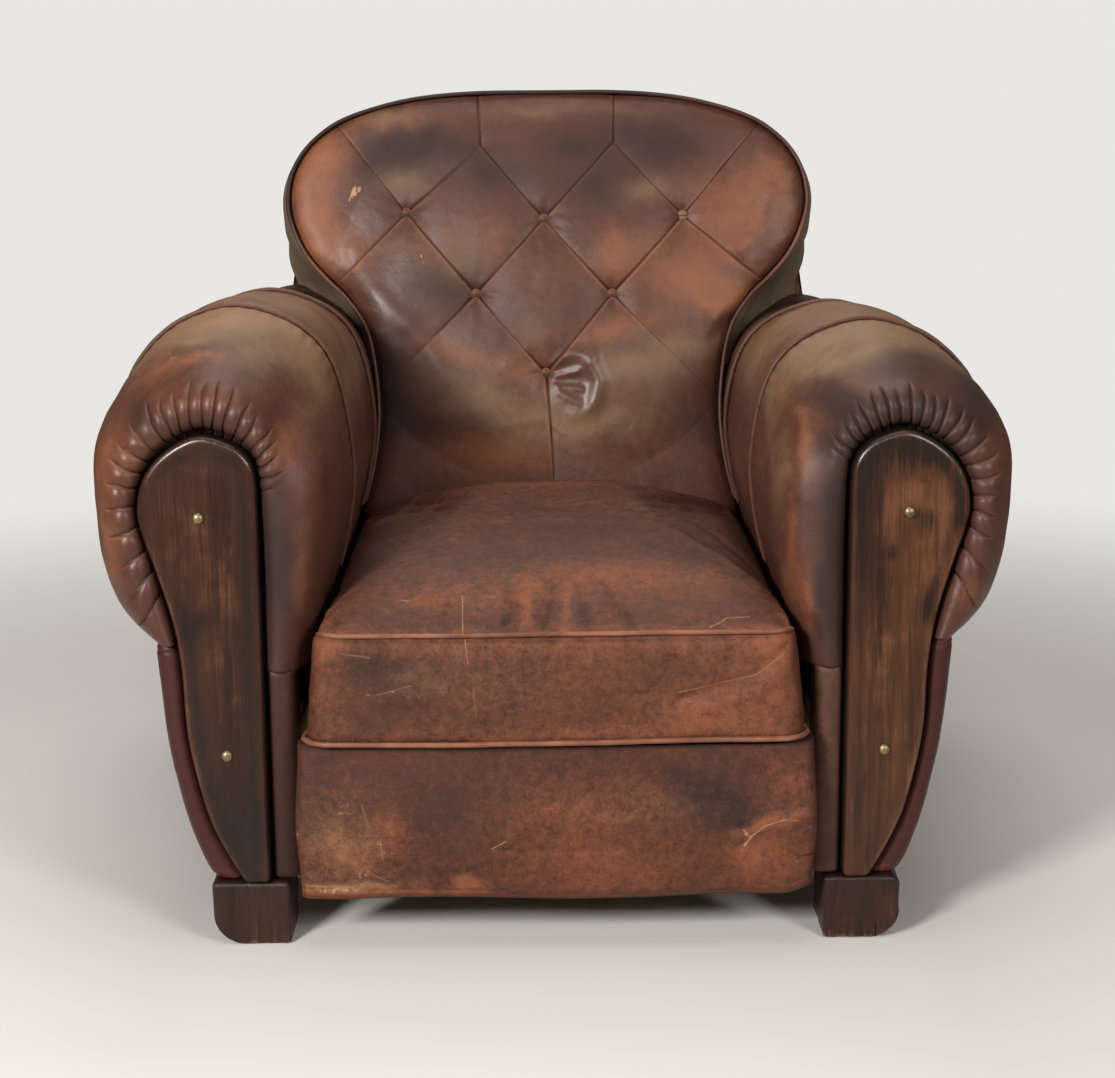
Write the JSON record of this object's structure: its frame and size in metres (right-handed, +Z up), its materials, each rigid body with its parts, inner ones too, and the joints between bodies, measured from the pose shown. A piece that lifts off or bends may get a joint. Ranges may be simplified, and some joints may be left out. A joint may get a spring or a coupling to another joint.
{
  "type": "club chair",
  "caption": "Low leather club chair with pleated rolled arms, wooden arm boards, button-tufted balloon back, loose seat cushion and block feet.",
  "frame": {"origin": "on the floor, under the middle of the chair's box", "axes": "+X to the viewer's right across the chair, the chair faces -Y, +Z up"},
  "size_m": [0.9016, 0.88, 0.827],
  "materials": {
    "leather": "dark brown waxed leather, rubbed and scratched",
    "seat_leather": "dry brown leather, rubbed to orange brown at the edges",
    "panel_leather": "maroon brown leather, smooth",
    "welt_leather": "leather cord, rubbed to orange brown",
    "board_wood": "dark stained and varnished wood, cracked and rubbed",
    "foot_wood": "dark stained wood, scuffed corners",
    "frame_wood": "plain sawn beech",
    "brass": "dulled domed brass",
    "spring_steel": "dark coppered spring wire",
    "jute": "coarse jute"
  },
  "bodies": {
    "root": {"apron": "seat_leather", "arm_board_left": "frame_wood", "arm_board_right": "frame_wood", "arm_body_left": "leather", "arm_body_right": "leather", "arm_cap_left": "leather", "arm_cap_right": "leather", "arm_end_welt_left": "leather", "arm_end_welt_right": "leather", "arm_rail_left": "frame_wood", "arm_rail_right": "frame_wood", "arm_rear_post_left": "frame_wood", "arm_rear_post_right": "frame_wood", "arm_welt_left": "leather", "arm_welt_right": "leather", "back_post_left": "frame_wood", "back_post_right": "frame_wood", "facing_left": "board_wood", "facing_right": "board_wood", "foot_front_left": "foot_wood", "foot_front_right": "foot_wood", "foot_rear_left": "foot_wood", "foot_rear_right": "foot_wood", "inside_strip_left": "leather", "inside_strip_right": "leather", "outside_arm_left": "panel_leather", "outside_arm_right": "panel_leather", "side_rail_left": "frame_wood", "side_rail_right": "frame_wood", "facing_screw_upper_left": "brass", "facing_screw_upper_right": "brass", "facing_screw_lower_left": "brass", "facing_screw_lower_right": "brass", "back_boxing": "leather", "back_button_top_left": "leather", "back_button_top_middle": "leather", "back_button_top_right": "leather", "back_button_middle_left": "leather", "back_button_middle_right": "leather", "back_button_lower": "leather", "back_crest_rail": "frame_wood", "back_pad": "leather", "back_welt": "leather", "outside_back": "leather", "cushion_welt_bottom": "welt_leather", "cushion_welt_top": "welt_leather", "seat_cushion": "seat_leather", "seat_deck": "jute", "seat_webbing": "jute", "seat_spring_front_left": "spring_steel", "seat_spring_front_centre": "spring_steel", "seat_spring_front_right": "spring_steel", "seat_spring_middle_left": "spring_steel", "seat_spring_middle_centre": "spring_steel", "seat_spring_middle_right": "spring_steel", "seat_spring_rear_left": "spring_steel", "seat_spring_rear_centre": "spring_steel", "seat_spring_rear_right": "spring_steel", "front_rail": "frame_wood", "rear_rail": "frame_wood"}
  },
  "joints": []
}
